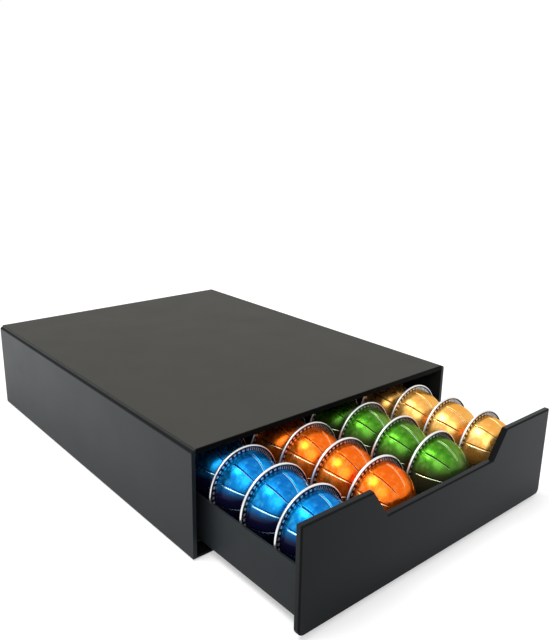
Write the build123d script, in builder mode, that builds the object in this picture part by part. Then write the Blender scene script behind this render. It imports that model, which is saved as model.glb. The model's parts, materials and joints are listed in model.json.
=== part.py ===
from build123d import *
import os

# Coffee pod drawer: a low flat-topped casing that a coffee machine stands on, and a drawer that slides
# out of its front with the pods lying on their sides in four rows of cradles.
# Millimetres. +Z is up, -Y is the front. The origin is on the worktop, in the middle of the footprint
# that the casing and the open drawer have together.

# casing
case_width = 280.0
case_depth = 370.0
case_top = 86.9  # height of the top panel's upper face
foot_height = 1.0  # how far the rubber feet stand out below the casing
side_thickness = 3.2
side_drop = 0.8  # the side panels end this much below the top face
side_edge_radius = 2.8
top_thickness = 4.5
base_thickness = 2.0
back_thickness = 3.0
back_recess = 2.0
ledge_width = 6.4
fit_gap = 0.2  # between neighbouring fixed panels

# drawer front
front_width = 272.8
front_bottom = 3.4
front_top = 80.4
front_thickness = 5.0
notch_top_width = 149.0
notch_bottom_width = 119.5
notch_depth = 22.0

# drawer box, folded from sheet
sheet = 1.6
drawer_half_width = 128.9
drawer_bottom = 8.1
drawer_side_top = 45.1
drawer_length = 358.0
flange_width = 15.0
opening_shown = 108.0  # how far the drawer stands open
further_travel = 172.0  # from there to its stops

# runners
runner_sheet = 1.2
runner_bottom = 6.6
runner_top = 34.0
runner_leg = 15.6
runner_lip = 5.1
running_gap = 0.3

# pods and the cradles they lie in
pod_colours = ("blue", "orange", "green", "gold")
column_pitch = 63.9
row_pitch = 35.6
row_count = 10
rows_filled = 4
pod_axis_height = 46.2
rim_radius = 31.0
rim_bead = 1.0  # radius of the rim's rolled edge
flange_span = (-0.6, 0.4)  # the lid's and the flange's faces, from the middle of the rim
dome_radius = 26.3
shoulder = (24.0, 14.6)  # radius, and distance ahead of the rim, where the wall meets the rounded nose
shoulder_radius = 10.0
dome_length = 28.7
flute_count = 10
flute_start = 11.0  # degrees from the pod's side to its first pressed line
flute_width = 0.9
flute_floor = ((25.9, 3.0), (23.5, 14.4), (17.5, 22.4))  # radius and distance ahead, along a pressed line
nose_gap = 1.5
cradle_radius = 29.6
groove_radius = 31.4
groove_width = 3.0
ridge_height = 31.0

# places worked out from them
cradle_axis_height = pod_axis_height + groove_radius - rim_radius - 0.02  # the rims stand on the grooves
inner_x = case_width / 2 - side_thickness
case_mid = opening_shown / 2
case_front = case_mid - case_depth / 2
case_back = case_mid + case_depth / 2
side_top = case_top - side_drop
top_underside = case_top - top_thickness
base_top = foot_height + base_thickness
panel_half = inner_x - fit_gap
back_inner = case_back - back_recess - back_thickness
front_face = case_front - opening_shown
front_back = front_face + front_thickness
drawer_back_face = front_back + drawer_length
first_rim = front_back + dome_length + nose_gap
column_x = [(i - 1.5) * column_pitch for i in range(4)]
row_y = [first_rim + k * row_pitch for k in range(row_count)]
floor_bottom = drawer_bottom + sheet
floor_top = floor_bottom + sheet
drawer_inner_x = drawer_half_width - sheet

os.makedirs("parts", exist_ok=True)


def save(piece, name):
    """Name a finished piece and write it to its own file."""
    piece.label = name
    export_step(piece, f"parts/{name}.step")


def sides():
    """The two hands of a piece that is made for the right (+X) side."""
    return (("right", 1), ("left", -1))


def handed(piece, hand):
    """The piece itself for the right side, its mirror image for the left."""
    return piece if hand > 0 else piece.mirror(Plane.YZ)


# ---------------------------------------------------------------- casing panels

ledge_ys = (case_front + 9, back_inner - 2)
ledge_length = ledge_ys[1] - ledge_ys[0]
ledge_mid = sum(ledge_ys) / 2
ledge_x = inner_x - ledge_width / 2
ledge_heights = ((top_underside - 4.2, top_underside), (base_top, base_top + 2.2))
cleat_z = (48.0, 78.0)
panel_screw_ys = [case_mid + y for y in (-150, -50, 50, 150)]
runner_screw_ys = [case_mid + y for y in (-150, 0, 150)]
runner_screw_z = 20.0
cleat_screw_zs = (55.0, 71.0)
cleat_screw_x = inner_x - 3.5
screw_radius = 1.25
screw_hole = 1.35

with BuildPart() as side_panel:
    # the skin, with its softly rounded back and top edges
    with BuildSketch(Plane.XY.offset(foot_height)) as skin:
        with Locations((inner_x + side_thickness / 2, case_mid)):
            Rectangle(side_thickness, case_depth)
        fillet(skin.vertices().group_by(Axis.X)[-1].sort_by(Axis.Y)[-1], side_edge_radius + 0.2)
    extrude(amount=side_top - foot_height)
    rim = side_panel.faces().sort_by(Axis.Z)[-1].edges()
    fillet([e for e in rim if e.center().X > inner_x + 1 and e.center().Y > case_front + 1], side_edge_radius)
    # ledges for the top panel to lie on and for the base panel to hang from
    for low, high in ledge_heights:
        with BuildSketch(Plane.XY.offset(low)):
            with Locations((ledge_x, ledge_mid)):
                Rectangle(ledge_width, ledge_length)
        extrude(amount=high - low)
    # the upright cleat that the back panel is screwed to
    with BuildSketch(Plane.XY.offset(cleat_z[0])):
        with Locations((inner_x - 3.5, back_inner - 4)):
            Rectangle(7, 8)
    extrude(amount=cleat_z[1] - cleat_z[0])
    # screw holes: through both ledges, into the cleat and part way into the skin for the runner
    with Locations([(ledge_x, y, base_top - 1) for y in panel_screw_ys]):
        Cylinder(screw_hole, case_top, align=(Align.CENTER, Align.CENTER, Align.MIN), mode=Mode.SUBTRACT)
    with Locations([(cleat_screw_x, back_inner, z) for z in cleat_screw_zs]):
        Cylinder(screw_hole, 16, rotation=(90, 0, 0), mode=Mode.SUBTRACT)
    with Locations([(inner_x, y, runner_screw_z) for y in runner_screw_ys]):
        Cylinder(screw_hole, 4.8, rotation=(0, 90, 0), mode=Mode.SUBTRACT)

for name, hand in sides():
    save(handed(side_panel.part, hand), f"{name}_side_panel")

rib_ys = [ledge_ys[0] + 20 + i * 53 for i in range(7)]

with BuildPart() as top_panel:
    with BuildSketch(Plane.XY.offset(top_underside)):
        with Locations((0, case_mid)):
            Rectangle(2 * panel_half, case_depth)
    extrude(amount=top_thickness)
    fillet(top_panel.faces().sort_by(Axis.Z)[-1].edges(), 0.9)
    # stiffening ribs, because the machine stands on this panel
    with BuildSketch(Plane.XY.offset(top_underside - 3.4)):
        with Locations([(0, y) for y in rib_ys]):
            Rectangle(2 * (inner_x - ledge_width) - 0.6, 2.4)
    extrude(amount=3.4)
    with Locations([(side * ledge_x, y, top_underside) for side in (-1, 1) for y in panel_screw_ys]):
        Cylinder(screw_hole, 6.0, mode=Mode.SUBTRACT)
top_panel.part.label = "top_panel"
export_step(top_panel.part, "parts/top_panel.step")

foot_radius = 8.0
foot_places = [(x, case_mid + y) for x in (-118, 118) for y in (-163, 163)]

with BuildPart() as base_panel:
    with BuildSketch(Plane.XY.offset(foot_height)):
        with Locations((0, (case_front + back_inner + back_thickness) / 2)):
            Rectangle(2 * panel_half, back_inner + back_thickness - case_front)
    extrude(amount=base_thickness)
    # low lengthwise ribs under the drawer
    with BuildSketch(Plane.XY.offset(base_top)):
        with Locations([(x, case_mid) for x in (-84, -28, 28, 84)]):
            Rectangle(2.4, case_depth - 50)
    extrude(amount=2.4)
    # shallow seats for the feet, and countersunk screw holes
    with Locations([(x, y, foot_height) for x, y in foot_places]):
        Cylinder(foot_radius + 0.1, 2.0, mode=Mode.SUBTRACT)
    with Locations([(side * ledge_x, y, foot_height) for side in (-1, 1) for y in panel_screw_ys]):
        Cylinder(screw_hole, 6.0, mode=Mode.SUBTRACT)
        Cone(2.75, 1.35, 1.4, align=(Align.CENTER, Align.CENTER, Align.MIN), mode=Mode.SUBTRACT)
base_panel.part.label = "base_panel"
export_step(base_panel.part, "parts/base_panel.step")

with BuildPart() as back_panel:
    with BuildSketch(Plane.XZ.offset(-back_inner)):
        with Locations((0, (base_top + top_underside) / 2)):
            Rectangle(2 * panel_half, top_underside - base_top)
    extrude(amount=-back_thickness)
    # a raised frame round the inside, which keeps the panel flat
    with BuildSketch(Plane.XZ.offset(-back_inner)):
        with Locations((0, 66)):
            Rectangle(240, 16)
            Rectangle(234, 10, mode=Mode.SUBTRACT)
    extrude(amount=1.6)
    with Locations([(side * cleat_screw_x, back_inner, z) for side in (-1, 1) for z in cleat_screw_zs]):
        Cylinder(screw_hole, 10, rotation=(90, 0, 0), mode=Mode.SUBTRACT)
back_panel.part.label = "back_panel"
export_step(back_panel.part, "parts/back_panel.step")

for x, y in foot_places:
    with BuildPart() as foot:
        with BuildSketch(Plane.XY):
            with Locations((x, y)):
                Circle(foot_radius)
        extrude(amount=2.0)
        chamfer(foot.edges().group_by(Axis.Z)[0], 0.5)
    save(foot.part, f"{'front' if y < case_mid else 'rear'}_{'left' if x < 0 else 'right'}_foot")

# ---------------------------------------------------------------- runners and the drawer's rear shoes

runner_ys = (case_front + 9, back_inner - 2)
shoe_ys = (drawer_back_face - 70, drawer_back_face - 2)
stop_y = shoe_ys[0] - further_travel - running_gap

with BuildPart() as runner:
    # a channel on the side panel: its lower leg carries the drawer, its upper lip keeps the back from lifting
    with BuildSketch(Plane.XZ.offset(-runner_ys[0])):
        with BuildLine():
            Polyline(
                (inner_x, runner_bottom),
                (inner_x, runner_top),
                (inner_x - runner_lip - runner_sheet, runner_top),
                (inner_x - runner_lip - runner_sheet, runner_top - runner_sheet),
                (inner_x - runner_sheet, runner_top - runner_sheet),
                (inner_x - runner_sheet, runner_bottom + runner_sheet),
                (inner_x - runner_leg - runner_sheet, runner_bottom + runner_sheet),
                (inner_x - runner_leg - runner_sheet, runner_bottom),
                close=True,
            )
        make_face()
    extrude(amount=-(runner_ys[1] - runner_ys[0]))
    # the folded tab that stops the shoe
    with BuildSketch(Plane.XZ.offset(-(stop_y - runner_sheet))):
        with Locations((inner_x - runner_sheet - 2.6, 20)):
            Rectangle(5.2, 16)
    extrude(amount=-runner_sheet)
    with Locations([(inner_x, y, runner_screw_z) for y in runner_screw_ys]):
        Cylinder(screw_hole, 6.0, rotation=(0, 90, 0), mode=Mode.SUBTRACT)

for name, hand in sides():
    save(handed(runner.part, hand), f"{name}_runner")

shoe_bottom = runner_bottom + runner_sheet + running_gap
shoe_top = runner_top - runner_sheet - running_gap
shoe_thickness = 4.9

with BuildPart() as shoe:
    # a moulded shoe with two lightening pockets
    with BuildSketch(Plane.YZ.offset(drawer_half_width)):
        with Locations((sum(shoe_ys) / 2, (shoe_bottom + shoe_top) / 2)):
            RectangleRounded(shoe_ys[1] - shoe_ys[0], shoe_top - shoe_bottom, 2.5)
    extrude(amount=shoe_thickness)
    with BuildSketch(Plane.YZ.offset(drawer_half_width + shoe_thickness)):
        with Locations([(sum(shoe_ys) / 2 + step, (shoe_bottom + shoe_top) / 2) for step in (-15.5, 15.5)]):
            RectangleRounded(26, 14, 2)
    extrude(amount=-3.2, mode=Mode.SUBTRACT)

for name, hand in sides():
    save(handed(shoe.part, hand), f"{name}_rear_shoe")

# ---------------------------------------------------------------- drawer

front_screw_zs = (18.0, 36.0)
front_screw_x = drawer_inner_x - 8

with BuildPart() as front_panel:
    with BuildSketch(Plane.XZ.offset(-front_back)):
        with BuildLine():
            Polyline(
                (-front_width / 2, front_bottom),
                (front_width / 2, front_bottom),
                (front_width / 2, front_top),
                (notch_top_width / 2, front_top),
                (notch_bottom_width / 2, front_top - notch_depth),
                (-notch_bottom_width / 2, front_top - notch_depth),
                (-notch_top_width / 2, front_top),
                (-front_width / 2, front_top),
                close=True,
            )
        outline = make_face()
        low = outline.vertices().group_by(Axis.Y)[0]
        fillet(low, 5.0)
        fillet([v for v in outline.vertices() if abs(v.X) < notch_top_width / 2 + 1], 3.0)
        fillet([v for v in outline.vertices().group_by(Axis.Y)[-1] if abs(v.X) > front_width / 2 - 1], 2.5)
    extrude(amount=front_thickness)
    fillet(front_panel.faces().sort_by(Axis.Y)[0].edges(), 1.4)
    fillet(front_panel.faces().sort_by(Axis.Y)[-1].edges(), 0.8)
    with Locations([(side * front_screw_x, front_back, z) for side in (-1, 1) for z in front_screw_zs]):
        Cylinder(screw_hole, 7.0, rotation=(90, 0, 0), mode=Mode.SUBTRACT)
front_panel.part.label = "front_panel"
export_step(front_panel.part, "parts/front_panel.step")

tab_top = drawer_side_top - 2
rivet_radius = 1.2
rivet_hole = 1.3
floor_rivet_x = drawer_inner_x - 11
floor_rivet_ys = (front_back + 20, front_back + drawer_length / 2, drawer_back_face - 20)
back_rivet_zs = (20.0, 36.0)
back_rivet_x = drawer_inner_x - 8

with BuildPart() as drawer_side:
    with BuildSketch(Plane.YZ.offset(drawer_inner_x)):
        with Locations((front_back + drawer_length / 2, (drawer_bottom + drawer_side_top) / 2)):
            Rectangle(drawer_length, drawer_side_top - drawer_bottom)
    extrude(amount=sheet)
    # folded in along the bottom to carry the floor
    with BuildSketch(Plane.XY.offset(drawer_bottom)):
        with Locations((drawer_inner_x - flange_width / 2, front_back + drawer_length / 2)):
            Rectangle(flange_width, drawer_length)
    extrude(amount=sheet)
    # folded in at both ends to take the front panel and the back
    for y in (front_back + sheet / 2, drawer_back_face - sheet / 2):
        with BuildSketch(Plane.XY.offset(floor_bottom)):
            with Locations((drawer_inner_x - flange_width / 2, y)):
                Rectangle(flange_width, sheet)
        extrude(amount=tab_top - floor_bottom)
    fillet(drawer_side.edges().filter_by(Axis.Y).group_by(Axis.Z)[0].sort_by(Axis.X)[-1], 1.2)
    with Locations([(front_screw_x, front_back, z) for z in front_screw_zs]):
        Cylinder(screw_hole, 6.0, rotation=(90, 0, 0), mode=Mode.SUBTRACT)
    with Locations([(back_rivet_x, drawer_back_face, z) for z in back_rivet_zs]):
        Cylinder(rivet_hole, 6.0, rotation=(90, 0, 0), mode=Mode.SUBTRACT)
    with Locations([(floor_rivet_x, y, drawer_bottom) for y in floor_rivet_ys]):
        Cylinder(rivet_hole, 6.0, mode=Mode.SUBTRACT)

for name, hand in sides():
    save(handed(drawer_side.part, hand), f"{name}_drawer_side")

floor_ys = (front_back + sheet + fit_gap, drawer_back_face - sheet - fit_gap)

with BuildPart() as drawer_floor:
    with BuildSketch(Plane.XY.offset(floor_bottom)):
        with Locations((0, sum(floor_ys) / 2)):
            Rectangle(2 * (drawer_inner_x - fit_gap), floor_ys[1] - floor_ys[0])
    extrude(amount=sheet)
    with Locations([(side * floor_rivet_x, y, floor_bottom) for side in (-1, 1) for y in floor_rivet_ys]):
        Cylinder(rivet_hole, 6.0, mode=Mode.SUBTRACT)
drawer_floor.part.label = "drawer_floor"
export_step(drawer_floor.part, "parts/drawer_floor.step")

with BuildPart() as drawer_back:
    with BuildSketch(Plane.XZ.offset(-(drawer_back_face - sheet))):
        with Locations((0, (floor_top + drawer_side_top) / 2)):
            Rectangle(2 * (drawer_inner_x - fit_gap), drawer_side_top - floor_top)
    extrude(amount=sheet)
    with Locations([(side * back_rivet_x, drawer_back_face, z) for side in (-1, 1) for z in back_rivet_zs]):
        Cylinder(rivet_hole, 9.0, rotation=(90, 0, 0), mode=Mode.SUBTRACT)
drawer_back.part.label = "drawer_back"
export_step(drawer_back.part, "parts/drawer_back.step")

# ---------------------------------------------------------------- pod rack

rack_half = drawer_inner_x - 0.3
rack_ys = (front_back + sheet + 1.6, drawer_back_face - 2 * sheet - 1.1)  # clear of the screw and rivet heads
rack_wall = 2.0

with BuildPart() as pod_rack:
    # four round-bottomed cradles side by side, with the ridges between them moulded hollow from below
    with BuildSketch(Plane.XZ.offset(-rack_ys[0])):
        with Locations((0, (floor_top + ridge_height) / 2)):
            Rectangle(2 * rack_half, ridge_height - floor_top)
        with Locations([(x, cradle_axis_height) for x in column_x]):
            Circle(cradle_radius, mode=Mode.SUBTRACT)
        for x in (-column_pitch, 0, column_pitch):
            with BuildLine():
                Polyline(
                    (x - 15, floor_top),
                    (x - 3.5, ridge_height - 2.5),
                    (x + 3.5, ridge_height - 2.5),
                    (x + 15, floor_top),
                    close=True,
                )
            make_face(mode=Mode.SUBTRACT)
        for side in (-1, 1):
            with BuildLine():
                Polyline(
                    (side * (2 * column_pitch - 15), floor_top),
                    (side * (rack_half - rack_wall - 1.5), ridge_height - 3.7),
                    (side * (rack_half - rack_wall), ridge_height - 3.7),
                    (side * (rack_half - rack_wall), floor_top),
                    close=True,
                )
            make_face(mode=Mode.SUBTRACT)
    extrude(amount=-(rack_ys[1] - rack_ys[0]))
    # a groove across each cradle for every pod's rim
    for y in row_y:
        with BuildSketch(Plane.XZ.offset(-(y - groove_width / 2))):
            with Locations([(x, cradle_axis_height) for x in column_x]):
                Circle(groove_radius)
        extrude(amount=-groove_width, mode=Mode.SUBTRACT)
pod_rack.part.label = "pod_rack"
export_step(pod_rack.part, "parts/pod_rack.step")

# ---------------------------------------------------------------- pods

# made round +Z, with the lid below and the nose on top
nose_centre = (dome_length**2 - shoulder[0] ** 2 - shoulder[1] ** 2) / (2 * (dome_length - shoulder[1]))
dome_foot = (dome_radius, flange_span[1])

with BuildPart() as flute:
    # what the tool presses out of the foil along one line
    with BuildSketch(Plane.XZ):
        with BuildLine():
            Polyline(*flute_floor, (19.6, 24.8), (27.8, 15.2), (28.8, 3.6), close=True)
        make_face()
    extrude(amount=flute_width / 2, both=True)

with BuildPart() as pod:
    # flat lid, rolled rim and domed shell in one turned profile
    with BuildSketch(Plane.XZ) as profile:
        with BuildLine():
            Line(dome_foot, shoulder)
            RadiusArc(shoulder, (0, dome_length), nose_centre - dome_length)
            Polyline(
                (0, dome_length),
                (0, flange_span[0]),
                (rim_radius - rim_bead, flange_span[0]),
                (rim_radius - rim_bead, flange_span[1]),
                dome_foot,
            )
        make_face()
        fillet(profile.vertices().sort_by_distance(shoulder)[0], shoulder_radius)
        with Locations((rim_radius - rim_bead, 0)):
            Circle(rim_bead)
    revolve(axis=Axis.Z)
    with PolarLocations(0, flute_count, start_angle=flute_start):
        add(flute.part, mode=Mode.SUBTRACT)


def pod_place(x, y):
    """Where a pod lies: on its side, with its dome to the front."""
    return Location(Plane(origin=(x, y, pod_axis_height), x_dir=(1, 0, 0), z_dir=(0, -1, 0)))


for colour, x in zip(pod_colours, column_x):
    for row in range(rows_filled):
        save(pod.part.moved(pod_place(x, row_y[row])), f"{colour}_pod_{row + 1}")

# ---------------------------------------------------------------- fasteners and small rubber


def pan_screw(place, direction, length, head_radius=2.5, head_height=1.4):
    """A pan-head screw whose head sits on the face at place and whose shank runs along direction."""
    with BuildPart() as screw:
        with BuildSketch(Plane(origin=place, z_dir=direction)):
            Circle(screw_radius)
        extrude(amount=length)
        with BuildSketch(Plane(origin=place, z_dir=tuple(-c for c in direction))):
            Circle(head_radius)
        extrude(amount=head_height, taper=20)
    return screw.part


def countersunk_screw(place, direction, length):
    """A countersunk screw whose flat head lies flush in the face at place."""
    with BuildPart() as screw:
        with BuildSketch(Plane(origin=place, z_dir=direction)):
            Circle(screw_radius)
        extrude(amount=length)
        with Locations(Plane(origin=place, z_dir=direction)):
            Cone(2.65, 1.25, 1.4, align=(Align.CENTER, Align.CENTER, Align.MIN))
    return screw.part


def rivet(place, direction, grip):
    """A rivet through two sheets, with a low head on each side."""
    with BuildPart() as pin:
        with BuildSketch(Plane(origin=place, z_dir=direction)):
            Circle(rivet_radius)
        extrude(amount=grip)
        with BuildSketch(Plane(origin=place, z_dir=tuple(-c for c in direction))):
            Circle(2.2)
        extrude(amount=0.7, taper=20)
        with BuildSketch(Plane(origin=place, z_dir=direction).offset(grip)):
            Circle(2.2)
        extrude(amount=0.7, taper=20)
    return pin.part


def save_group(pieces, name):
    """Write identical small pieces together, as separate solids under one name."""
    save(Compound(children=[Part(p.wrapped) for p in pieces]), name)


both = (-1, 1)
save_group(
    [
        countersunk_screw((s * ledge_x, y, foot_height), (0, 0, 1), 4.0)
        for s in both
        for y in panel_screw_ys
    ],
    "base_panel_screws",
)
save_group(
    [
        pan_screw((s * ledge_x, y, ledge_heights[0][0]), (0, 0, 1), 7.0, head_radius=2.3)
        for s in both
        for y in panel_screw_ys
    ],
    "top_panel_screws",
)
save_group(
    [
        pan_screw((s * cleat_screw_x, back_inner + back_thickness, z), (0, -1, 0), 9.0, head_height=1.3)
        for s in both
        for z in cleat_screw_zs
    ],
    "back_panel_screws",
)
save_group(
    [
        pan_screw((s * (inner_x - runner_sheet), y, runner_screw_z), (s, 0, 0), 3.4, head_height=1.3)
        for s in both
        for y in runner_screw_ys
    ],
    "runner_screws",
)
save_group(
    [
        pan_screw((s * front_screw_x, front_back + sheet, z), (0, -1, 0), 4.8)
        for s in both
        for z in front_screw_zs
    ],
    "front_panel_screws",
)
save_group(
    [
        rivet((s * back_rivet_x, drawer_back_face, z), (0, -1, 0), 2 * sheet)
        for s in both
        for z in back_rivet_zs
    ],
    "drawer_back_rivets",
)
save_group(
    [
        rivet((s * floor_rivet_x, y, drawer_bottom), (0, 0, 1), 2 * sheet)
        for s in both
        for y in floor_rivet_ys
    ],
    "drawer_floor_rivets",
)

for name, hand in sides():
    with BuildPart() as bumper:
        with BuildSketch(Plane.XZ.offset(-drawer_back_face)):
            with Locations((hand * 104, 34)):
                Circle(5)
        extrude(amount=-1.7)
        chamfer(bumper.edges().group_by(Axis.Y)[-1], 0.4)
    save(bumper.part, f"{name}_rear_bumper")
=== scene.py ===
import bpy
import bmesh
import json
from math import cos, radians, sin
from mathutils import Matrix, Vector

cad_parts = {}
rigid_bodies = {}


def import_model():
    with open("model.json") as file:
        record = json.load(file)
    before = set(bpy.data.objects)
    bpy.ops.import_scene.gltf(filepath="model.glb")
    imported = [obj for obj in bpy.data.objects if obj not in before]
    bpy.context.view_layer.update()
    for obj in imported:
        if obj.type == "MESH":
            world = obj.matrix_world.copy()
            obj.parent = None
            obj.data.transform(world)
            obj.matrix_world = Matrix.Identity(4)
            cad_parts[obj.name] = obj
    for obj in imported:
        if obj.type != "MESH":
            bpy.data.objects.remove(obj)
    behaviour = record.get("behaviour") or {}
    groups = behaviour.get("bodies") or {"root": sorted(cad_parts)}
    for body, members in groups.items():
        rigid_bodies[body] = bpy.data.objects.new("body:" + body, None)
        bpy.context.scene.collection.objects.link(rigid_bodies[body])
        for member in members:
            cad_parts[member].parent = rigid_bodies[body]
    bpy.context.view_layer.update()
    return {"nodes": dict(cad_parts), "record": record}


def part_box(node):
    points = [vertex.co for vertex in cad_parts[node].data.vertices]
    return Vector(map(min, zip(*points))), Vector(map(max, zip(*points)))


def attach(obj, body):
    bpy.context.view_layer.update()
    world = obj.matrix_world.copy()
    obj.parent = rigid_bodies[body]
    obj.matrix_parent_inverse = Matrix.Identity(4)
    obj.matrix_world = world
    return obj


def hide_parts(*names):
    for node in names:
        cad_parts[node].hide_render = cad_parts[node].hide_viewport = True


# Coffee pod drawer, dressed for the photograph. Metres, +Z up, -Y is the drawer's front.

for thing in list(bpy.data.objects):
    bpy.data.objects.remove(thing, do_unlink=True)

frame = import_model()

# ---------------------------------------------------------------- node helpers


def new_material(name):
    """A node material with its own Principled shader and object coordinates."""
    material = bpy.data.materials.new(name)
    material.use_nodes = True
    nodes = material.node_tree.nodes
    shader = nodes["Principled BSDF"]
    coords = nodes.new("ShaderNodeTexCoord")
    return material, nodes, material.node_tree.links, shader, coords


def feed(links, socket, value):
    """Links or sets a socket; the value is another socket, a number or a vector."""
    if isinstance(value, bpy.types.NodeSocket):
        links.new(value, socket)
    else:
        socket.default_value = value


def noise(nodes, links, coords, scale, detail=3.0, roughness=0.55, stretch=(1, 1, 1)):
    """A noise texture in metres of the object's own space."""
    place = nodes.new("ShaderNodeMapping")
    place.inputs["Scale"].default_value = stretch
    links.new(coords.outputs["Object"], place.inputs["Vector"])
    texture = nodes.new("ShaderNodeTexNoise")
    texture.inputs["Scale"].default_value = scale
    texture.inputs["Detail"].default_value = detail
    texture.inputs["Roughness"].default_value = roughness
    links.new(place.outputs["Vector"], texture.inputs["Vector"])
    return texture.outputs["Fac"]


def spread(nodes, links, value, low, high, start=0.3, end=0.7):
    """Maps a value from start to end on low to high, and holds it there beyond them."""
    node = nodes.new("ShaderNodeMapRange")
    node.inputs["From Min"].default_value = start
    node.inputs["From Max"].default_value = end
    node.inputs["To Min"].default_value = low
    node.inputs["To Max"].default_value = high
    links.new(value, node.inputs["Value"])
    return node.outputs["Result"]


def calculate(nodes, links, operation, *values):
    """A Math node; each value is a socket or a number."""
    node = nodes.new("ShaderNodeMath")
    node.operation = operation
    for socket, value in zip(node.inputs, values):
        feed(links, socket, value)
    return node.outputs[0]


def components(nodes, links, vector):
    """The X, Y and Z sockets of a vector."""
    node = nodes.new("ShaderNodeSeparateXYZ")
    links.new(vector, node.inputs["Vector"])
    return node.outputs


def blend_colour(nodes, links, factor, first, second):
    """Mixes two colours by a value; a colour is a socket or its red, green and blue."""
    node = nodes.new("ShaderNodeMix")
    node.data_type = "RGBA"
    links.new(factor, node.inputs["Factor"])
    for socket, colour in ((node.inputs[6], first), (node.inputs[7], second)):
        is_socket = isinstance(colour, bpy.types.NodeSocket)
        feed(links, socket, colour if is_socket else (*colour, 1))
    return node.outputs[2]


def bump(nodes, links, shader, height, strength, distance, before=None):
    """Feeds a height into the shader's normal."""
    node = nodes.new("ShaderNodeBump")
    node.inputs["Strength"].default_value = strength
    node.inputs["Distance"].default_value = distance
    links.new(height, node.inputs["Height"])
    if before is not None:
        links.new(before, node.inputs["Normal"])
    links.new(node.outputs["Normal"], shader.inputs["Normal"])
    return node.outputs["Normal"]


# ---------------------------------------------------------------- materials

FINE_BUMP = 0.0002
EDGE_DULLNESS = 0.45


def roundedness(nodes, links, coords):
    """1 on rounded edges, where no part of the normal is near 1, and 0 on flat faces."""
    size = nodes.new("ShaderNodeVectorMath")
    size.operation = "ABSOLUTE"
    links.new(coords.outputs["Normal"], size.inputs[0])
    parts = components(nodes, links, size.outputs["Vector"])
    largest = calculate(nodes, links, "MAXIMUM", parts["X"], parts["Y"])
    largest = calculate(nodes, links, "MAXIMUM", largest, parts["Z"])
    return spread(nodes, links, largest, 1.0, 0.0, 0.90, 0.99)


def plastic(name, colour, rough=(0.36, 0.46), specular=0.5, tone=0.10, grain=0.06,
            edge_shade=None, front=None):
    """Satin moulded plastic or paint: faint cloudiness in tone and gloss, and a fine grain.

    A painted shade darkens rounded edges to the colour given for them, and faces towards the
    drawer's front to the colour front.
    """
    material, nodes, links, shader, coords = new_material(name)
    cloud = noise(nodes, links, coords, 9.0, detail=2.0)
    dark = [c * (1 - tone) for c in colour]
    light = [c * (1 + tone) for c in colour]
    shade = blend_colour(nodes, links, cloud, dark, light)
    gloss = spread(nodes, links, noise(nodes, links, coords, 24.0, detail=4.0), *rough)
    # painted shade: faces towards the drawer's front turn to the front colour
    if front is not None:
        facing = components(nodes, links, coords.outputs["Normal"])["Y"]
        front_shade_mask = spread(nodes, links, facing, 1.0, 0.0, -0.8, -0.3)
        shade = blend_colour(nodes, links, front_shade_mask, shade, front)
    # painted shade: rounded edges turn to a darker colour, and their gloss rougher
    if edge_shade is not None:
        rounded = roundedness(nodes, links, coords)
        shade = blend_colour(nodes, links, rounded, shade, edge_shade)
        gloss = calculate(nodes, links, "MULTIPLY_ADD", rounded, EDGE_DULLNESS, gloss)
    links.new(shade, shader.inputs["Base Color"])
    links.new(gloss, shader.inputs["Roughness"])
    shader.inputs["Specular IOR Level"].default_value = specular
    fine = noise(nodes, links, coords, 1800.0, detail=2.0)
    bump(nodes, links, shader, fine, grain, FINE_BUMP)
    return material


def metal(name, colour, rough=(0.28, 0.4), metallic=1.0):
    """Plain worked metal with a fine grain."""
    material, nodes, links, shader, coords = new_material(name)
    cloud = noise(nodes, links, coords, 30.0)
    dark = [c * 0.85 for c in colour]
    light = [min(1, c * 1.12) for c in colour]
    links.new(blend_colour(nodes, links, cloud, dark, light), shader.inputs["Base Color"])
    shader.inputs["Metallic"].default_value = metallic
    grain = noise(nodes, links, coords, 700.0)
    links.new(spread(nodes, links, grain, *rough), shader.inputs["Roughness"])
    bump(nodes, links, shader, grain, 0.08, FINE_BUMP)
    return material


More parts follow.
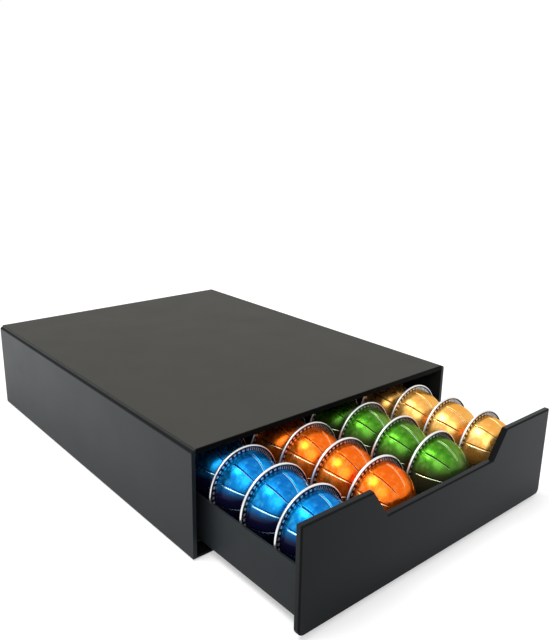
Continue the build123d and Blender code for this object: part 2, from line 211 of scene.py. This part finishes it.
def foil(name, colour, deep, pale, underside_shade, dark, side_reflection=None):
    """Coloured drawn foil: satin metal whose tone wanders softly, with drawing lines along it.

    Low on the pod, between the two heights in dark, it turns to a darker colour and less metal,
    a painted shade on the underside; right of the pod's middle it turns to a painted reflection.
    """
    material, nodes, links, shader, coords = new_material(name)
    broad = noise(nodes, links, coords, 55.0, detail=3.0, roughness=0.6)
    fleck = noise(nodes, links, coords, 210.0, detail=4.0, roughness=0.65)
    wander = spread(nodes, links, broad, 0.0, 1.0, 0.34, 0.66)
    shade = blend_colour(nodes, links, wander, deep, colour)
    sparkle = spread(nodes, links, fleck, 0.0, 0.55, 0.5, 0.8)
    shade = blend_colour(nodes, links, sparkle, shade, pale)
    place = components(nodes, links, coords.outputs["Object"])
    # painted reflection of what lies to the pod's right, on the foil right of the pod's middle
    if side_reflection is not None:
        right = spread(nodes, links, place["X"], 0.0, 0.75, -0.006, 0.008)
        shade = blend_colour(nodes, links, right, shade, side_reflection)
    # painted shade: between the two heights in dark the foil turns to a darker colour and less
    # metal towards the pod's underside
    underside_shade_mask = spread(nodes, links, place["Z"], 1.0, 0.0, *dark)
    links.new(blend_colour(nodes, links, underside_shade_mask, shade, underside_shade), shader.inputs["Base Color"])
    links.new(spread(nodes, links, place["Z"], 0.1, 0.92, *dark), shader.inputs["Metallic"])
    links.new(spread(nodes, links, fleck, 0.22, 0.38), shader.inputs["Roughness"])
    shader.inputs["Specular IOR Level"].default_value = 0.2
    shader.inputs["Specular Tint"].default_value = (*[c**0.6 for c in colour], 1)
    shader.inputs["Coat Weight"].default_value = 0.10
    shader.inputs["Coat Roughness"].default_value = 0.14
    drawn = noise(nodes, links, coords, 330.0, detail=2.0, stretch=(1, 0.12, 1))
    first = bump(nodes, links, shader, broad, 0.13, 0.0016)
    bump(nodes, links, shader, drawn, 0.10, 0.0003, before=first)
    return material


# each foil's darker underside colour is painted shade, and the tone on the right of the green and
# gold foils a painted reflection
foils = {
    "blue": foil(
        "blue_foil",
        colour=(0.003, 0.30, 0.75),
        deep=(0.002, 0.15, 0.52),
        pale=(0.06, 0.62, 1.0),
        underside_shade=(0.007, 0.006, 0.035),
        dark=(0.004, 0.012),
    ),
    "orange": foil(
        "orange_foil",
        colour=(0.95, 0.165, 0.007),
        deep=(0.88, 0.135, 0.004),
        pale=(1.0, 0.48, 0.14),
        underside_shade=(0.20, 0.03, 0.001),
        dark=(-0.004, 0.011),
    ),
    "green": foil(
        "green_foil",
        colour=(0.09, 0.38, 0.016),
        deep=(0.04, 0.20, 0.008),
        pale=(0.30, 0.62, 0.12),
        underside_shade=(0.035, 0.035, 0.016),
        dark=(0.007, 0.019),
        side_reflection=(0.21, 0.25, 0.09),
    ),
    "gold": foil(
        "gold_foil",
        colour=(0.98, 0.55, 0.14),
        deep=(0.90, 0.40, 0.07),
        pale=(1.0, 0.78, 0.38),
        underside_shade=(0.20, 0.10, 0.018),
        dark=(-0.002, 0.012),
        side_reflection=(0.85, 0.42, 0.09),
    ),
}

# painted shade for the floor of each pressed line and painted highlight for the lip beside it, per
# foil colour
groove_shade_colours = {
    "blue": (0.001, 0.02, 0.12),
    "orange": (0.16, 0.02, 0.001),
    "green": (0.006, 0.03, 0.002),
    "gold": (0.16, 0.06, 0.01),
}
lip_highlight_colours = {
    "blue": (0.55, 0.90, 1.0),
    "orange": (1.0, 0.80, 0.50),
    "green": (0.72, 0.92, 0.55),
    "gold": (1.0, 0.90, 0.66),
}
lines = {
    colour: metal(f"{colour}_pressed_line_shade", shade, rough=(0.3, 0.45))
    for colour, shade in groove_shade_colours.items()
}
lip_highlights = {
    colour: metal(f"{colour}_line_lip_highlight", shade, rough=(0.2, 0.3))
    for colour, shade in lip_highlight_colours.items()
}
rim_metal = metal("pod_rim_aluminium", (0.96, 0.96, 0.97), rough=(0.26, 0.38), metallic=0.85)
ring_ink = plastic("pod_ring_ink", (0.004, 0.006, 0.018), rough=(0.3, 0.4), specular=0.3)
dash_ink = metal("pod_dash_silver", (0.96, 0.96, 0.97), rough=(0.2, 0.3), metallic=0.7)

finishes = {
    # painted shade on the casing top's faces towards the drawer's front, near black
    "casing_top": plastic(
        "casing_top_plastic", (0.064, 0.063, 0.057), rough=(0.55, 0.62), specular=0.05,
        tone=0.05, front=(0.0015, 0.0015, 0.0018),
    ),
    # painted shade on the side panels' rounded edges
    "casing_side": plastic(
        "casing_side_plastic", (0.014, 0.018, 0.021), rough=(0.32, 0.38), specular=0.20,
        edge_shade=(0.0025, 0.0028, 0.003),
    ),
    # painted shade: the casing's inner faces are near black, darker than its outside
    "casing_inner": plastic(
        "casing_inner_shade_plastic", (0.004, 0.0045, 0.005), rough=(0.5, 0.65), specular=0.1,
    ),
    # painted shade on the front panel's rounded edges
    "front_panel": plastic(
        "front_panel_plastic", (0.004, 0.0068, 0.0085), rough=(0.20, 0.26), specular=0.12,
        edge_shade=(0.002, 0.002, 0.0025),
    ),
    "drawer_sheet": plastic(
        "drawer_paint", (0.015, 0.019, 0.022), rough=(0.4, 0.5), specular=0.18, grain=0.1,
    ),
    "rack": plastic("rack_plastic", (0.006, 0.0065, 0.007), rough=(0.3, 0.45), specular=0.4),
    "runner": plastic("runner_paint", (0.012, 0.0125, 0.013), rough=(0.35, 0.5), specular=0.4),
    "shoe": plastic("shoe_plastic", (0.02, 0.02, 0.02), rough=(0.4, 0.5)),
    "rubber": plastic(
        "foot_rubber", (0.01, 0.01, 0.01), rough=(0.6, 0.75), specular=0.25, grain=0.2,
    ),
    "fastener": metal("fastener_zinc", (0.10, 0.10, 0.11), rough=(0.35, 0.5)),
}
finishes.update({f"{colour}_pod": finish for colour, finish in foils.items()})

slots = {part["node"]: part["material_slot"] for part in frame["record"]["subparts"]}
for node, thing in frame["nodes"].items():
    thing.data.materials.clear()
    thing.data.materials.append(finishes[slots[node]])

# ---------------------------------------------------------------- pods

# a pod's own sizes; "ahead" is the distance in front of the middle of its rolled rim
RIM = 0.0310  # radius of the rim
BEAD = 0.00100  # radius of the rim's rolled section
DOME = 0.0263  # radius of the dome where it meets the flange
FLANGE = 0.0007  # where the dome leaves the flange
BACK = 0.0003  # where the dome's closed back lies, and the flange's last step
LENGTH = 0.0280  # length of the dome
FULLNESS = 2.3  # exponent of the dome's outline, where 2 is an ellipse
DOME_STEPS = 30
NOSE_START, NOSE_STEP = 0.87, 0.0002  # the end of the nose is set back a little

GROOVES = 10
GROOVE_DEPTH = 0.00055
GROOVE_HALF_ANGLE = 1.5
LIP_ANGLE, LIP_HEIGHT = 2.0, 0.00010
offsets = (-18, -13, -8.5, -5, -3, -2.0, -1.35, -0.8, 0, 0.8, 1.35, 2.0, 3, 5, 8.5, 13)

DASHES = 44
DASH_STEPS = 6
EDGE_STEPS = DASHES * DASH_STEPS

# the last two slots hold the painted shade of the pressed lines and the painted highlight on their
# lips
FOIL, ROLLED, INK, DASH, LINE_SHADE, LIP_HIGHLIGHT = range(6)  # material slots of a pod

dome_rows = [(BACK, 0.0, 0.0), (BACK, DOME + 0.0001, 0.0), (FLANGE, DOME, 0.0)]
for step in range(1, DOME_STEPS + 1):
    lean = radians(90 / DOME_STEPS * step)
    reach = sin(lean) ** (2 / FULLNESS)
    # the pressed lines fade in behind the flange and out before the nose
    fade = min(1, max(0, (reach - 0.07) / 0.05)) * min(1, max(0, (0.83 - reach) / 0.06))
    ahead = FLANGE + reach * LENGTH - (NOSE_STEP if reach > NOSE_START else 0)
    dome_rows.append((ahead, max(0.0, DOME * cos(lean)), fade))


def pressed(row, step):
    """How deep the pressed lines are at a row and step of the dome, less the lip beside each."""
    off = abs(offsets[step % len(offsets)])
    groove = max(0.0, 1 - (off / GROOVE_HALF_ANGLE) ** 2) * GROOVE_DEPTH
    lip = LIP_HEIGHT if abs(off - LIP_ANGLE) < 0.1 else 0.0
    return dome_rows[row][2] * (groove - lip)


def dome_paint(row, step, angle):
    """Foil, with painted shade in each pressed line and a painted highlight on its lip; the shade
    is wider and the highlight narrower on the upper left.
    """
    off = offsets[step % len(offsets)]
    if min(dome_rows[row][2], dome_rows[row + 1][2]) < 0.3:
        return FOIL
    upper_left = 106 < angle % 360 < 142
    if -0.8 <= off < (0.8 if upper_left else 0.0):
        return LINE_SHADE
    return LIP_HIGHLIGHT if 1.3 < off < (1.9 if upper_left else 2.9) else FOIL


# the lid, the rolled rim and the flange, as one closed disc behind the dome
edge_rows = [(-0.0003, 0.0), (-0.0003, 0.0120), (-0.0003, 0.0262), (-0.0007, 0.0272)]
edge_rows.append((-0.0007, RIM - 2 * BEAD))
rolled_start = len(edge_rows) - 2
for i in range(11):
    lean = radians(-150 + 30 * i)
    edge_rows.append((BEAD * sin(lean), RIM - BEAD + BEAD * cos(lean)))
flange_start = len(edge_rows)
edge_rows += [(0.0004, 0.0291), (0.0004, 0.0284), (0.0005, 0.0269), (0.0005, 0.0265)]
edge_rows += [(BACK, 0.0255), (BACK, 0.0)]


def edge_paint(row, step, angle):
    """Foil on the lid, metal on the rolled rim, and a dark ring with pale marks on the flange."""
    if row < rolled_start:
        return FOIL
    if row < flange_start - 3:
        return ROLLED
    if 28 < angle < 84:
        return DASH if flange_start <= row <= flange_start + 2 and step % 3 == 0 else INK
    return DASH if row == flange_start + 1 and step % DASH_STEPS < DASH_STEPS // 2 else INK


def turned(shape, profile, angles, paint, depth=None):
    """Turns a closed (ahead, radius) profile about Y.

    paint gives each face's material from its row, step and angle, and depth how far the
    surface is pressed in at a row and step.
    """
    rings = []
    for k, (ahead, radius) in enumerate(profile):
        if radius < 1e-6:
            rings.append([shape.verts.new((0, -ahead, 0))])
            continue
        ring = []
        for i, angle in enumerate(angles):
            r = radius if depth is None else radius - depth(k, i)
            ring.append(shape.verts.new((r * cos(radians(angle)), -ahead, r * sin(radians(angle)))))
        rings.append(ring)
    count = len(angles)
    for k, (low, high) in enumerate(zip(rings, rings[1:])):
        for i in range(count):
            j = (i + 1) % count
            if len(low) == 1:
                corners = (low[0], high[j], high[i])
            elif len(high) == 1:
                corners = (low[i], low[j], high[0])
            else:
                corners = (low[i], low[j], high[j], high[i])
            face = shape.faces.new(corners)
            face.material_index = paint(k, i, angles[i])
            face.smooth = True


def pod_mesh(name, phase):
    """One pod: the disc and the dome, both closed. phase turns the dome, in degrees."""
    shape = bmesh.new()
    edge_angles = [360 * i / EDGE_STEPS for i in range(EDGE_STEPS)]
    turned(shape, edge_rows, edge_angles, edge_paint)
    dome_angles = [k * 360 / GROOVES + off + phase for k in range(GROOVES) for off in offsets]
    turned(shape, [row[:2] for row in dome_rows], dome_angles, dome_paint, pressed)
    bmesh.ops.recalc_face_normals(shape, faces=shape.faces)
    mesh = bpy.data.meshes.new(name)
    shape.to_mesh(mesh)
    shape.free()
    return mesh


# how far each pod is turned in its place, from the front row to the back
phases = {
    "blue": (11, 11, 11, 9),
    "orange": (6, 1, 3, 7),
    "green": (20, 20, 18, 16),
    "gold": (12, 30, 24, 27),
}
for colour, turns in phases.items():
    for row, phase in enumerate(turns, 1):
        node = f"{colour}_pod_{row}"
        low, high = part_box(node)
        mesh = pod_mesh(f"{colour}_pod_mesh_{row}", phase)
        pod = bpy.data.objects.new(f"{colour}_foil_pod_{row}", mesh)
        bpy.context.scene.collection.objects.link(pod)
        for finish in (foils[colour], rim_metal, ring_ink, dash_ink, lines[colour], lip_highlights[colour]):
            pod.data.materials.append(finish)
        pod.location = ((low.x + high.x) / 2, high.y - BEAD, (low.z + high.z) / 2)
        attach(pod, "drawer")
        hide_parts(node)

# ---------------------------------------------------------------- floor

FLOOR_GLOW = 0.42

bpy.ops.mesh.primitive_plane_add(size=8, location=(0, 0, -0.0002))
floor = bpy.context.object
floor.name = "floor"
material, nodes, links, shader, coords = new_material("floor_white")
shader.inputs["Base Color"].default_value = (0.82, 0.82, 0.82, 1)
shader.inputs["Roughness"].default_value = 0.9
shader.inputs["Specular IOR Level"].default_value = 0.0
# the floor glows for the camera and for gloss; close in front of the drawer, and more so to its
# left, gloss shows it without the glow: painted shade in the floor as the front panel reflects it,
# darkest low on the left
lean = nodes.new("ShaderNodeVectorMath")
lean.operation = "DOT_PRODUCT"
lean.inputs[1].default_value = (1.6, -2.2, 0)
links.new(coords.outputs["Object"], lean.inputs[0])
far_ahead = spread(nodes, links, lean.outputs["Value"], 0.0, 1.0, 0.40, 1.25)
left = components(nodes, links, coords.outputs["Object"])["X"]
beside = spread(nodes, links, left, 1.0, 0.0, -0.21, -0.15)
clear = calculate(nodes, links, "MAXIMUM", far_ahead, beside)
path = nodes.new("ShaderNodeLightPath")
shine = calculate(nodes, links, "MULTIPLY", path.outputs["Is Glossy Ray"], clear)
seen = calculate(nodes, links, "MAXIMUM", path.outputs["Is Camera Ray"], shine)
glow = nodes.new("ShaderNodeEmission")
links.new(calculate(nodes, links, "MULTIPLY", seen, FLOOR_GLOW), glow.inputs["Strength"])
total = nodes.new("ShaderNodeAddShader")
links.new(shader.outputs[0], total.inputs[0])
links.new(glow.outputs[0], total.inputs[1])
links.new(total.outputs[0], nodes["Material Output"].inputs["Surface"])
floor.data.materials.append(material)

# ---------------------------------------------------------------- world, lights and camera

WORLD_LIGHT = 0.42

world = bpy.data.worlds.new("studio")
bpy.context.scene.world = world
world.use_nodes = True
nodes, links = world.node_tree.nodes, world.node_tree.links
background = nodes["Background"]
background.inputs["Color"].default_value = (1, 1, 1, 1)
path = nodes.new("ShaderNodeLightPath")
seen = calculate(
    nodes, links, "MAXIMUM", path.outputs["Is Camera Ray"], path.outputs["Is Glossy Ray"]
)
seen = calculate(nodes, links, "MAXIMUM", seen, path.outputs["Is Transmission Ray"])
level = spread(nodes, links, seen, WORLD_LIGHT, 1.0, 0.0, 1.0)
links.new(level, background.inputs["Strength"])


def soft_sun(name, energy, angle, direction):
    """A sun of that apparent size in degrees, which shines from the given direction."""
    sun = bpy.data.lights.new(name, "SUN")
    sun.energy = energy
    sun.angle = radians(angle)
    lamp = bpy.data.objects.new(name, sun)
    bpy.context.scene.collection.objects.link(lamp)
    lamp.rotation_mode = "QUATERNION"
    lamp.rotation_quaternion = Vector(direction).to_track_quat("Z", "Y")


soft_sun("key", 1.4, 26, (-0.34, 0.14, 0.93))
soft_sun("fill", 0.75, 35, (-0.42, -0.54, 0.73))

# the camera's place, turn and lens were fitted to the corners marked in the photograph
data = bpy.data.cameras.new("photo_camera")
data.sensor_fit = "HORIZONTAL"
data.sensor_width = 36.0
data.lens = 45.4155
data.clip_start = 0.01
data.clip_end = 50
camera = bpy.data.objects.new("photo_camera", data)
bpy.context.scene.collection.objects.link(camera)
camera.location = (-0.37381, -0.49188, 0.30433)
camera.rotation_euler = (radians(73.7589), radians(-0.8863), radians(-40.0454))
bpy.context.scene.camera = camera
bpy.context.scene.view_settings.view_transform = "Standard"
